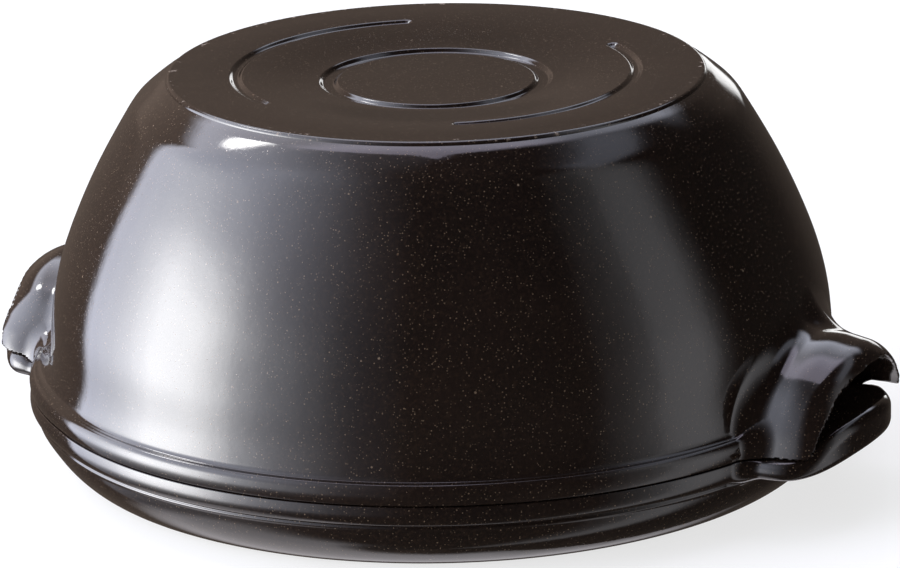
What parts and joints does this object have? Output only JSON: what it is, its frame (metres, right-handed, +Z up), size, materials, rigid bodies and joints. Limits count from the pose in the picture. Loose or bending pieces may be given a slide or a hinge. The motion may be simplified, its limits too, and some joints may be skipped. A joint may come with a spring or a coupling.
{
  "type": "bread cloche",
  "caption": "Round glazed ceramic bread cloche: a shallow eared dish and a tall flat-topped dome lid with arched ears that lifts straight off.",
  "frame": {"origin": "centre of the underside of the dish's foot ring, on the surface the cloche stands on", "axes": "+Z up through the dome's middle, X through the two ears"},
  "size_m": [0.3372, 0.286, 0.137],
  "materials": {
    "glaze_dish": "gloss",
    "glaze_lid": "gloss"
  },
  "bodies": {
    "base": {"base_dish": "glaze_dish"},
    "lid": {"dome_lid": "glaze_lid"}
  },
  "joints": [
    {"name": "lid_lift", "type": "slide", "parent": "base", "child": "lid", "axis": [0, 0, 1], "range_m": [0, 0.16]}
  ]
}
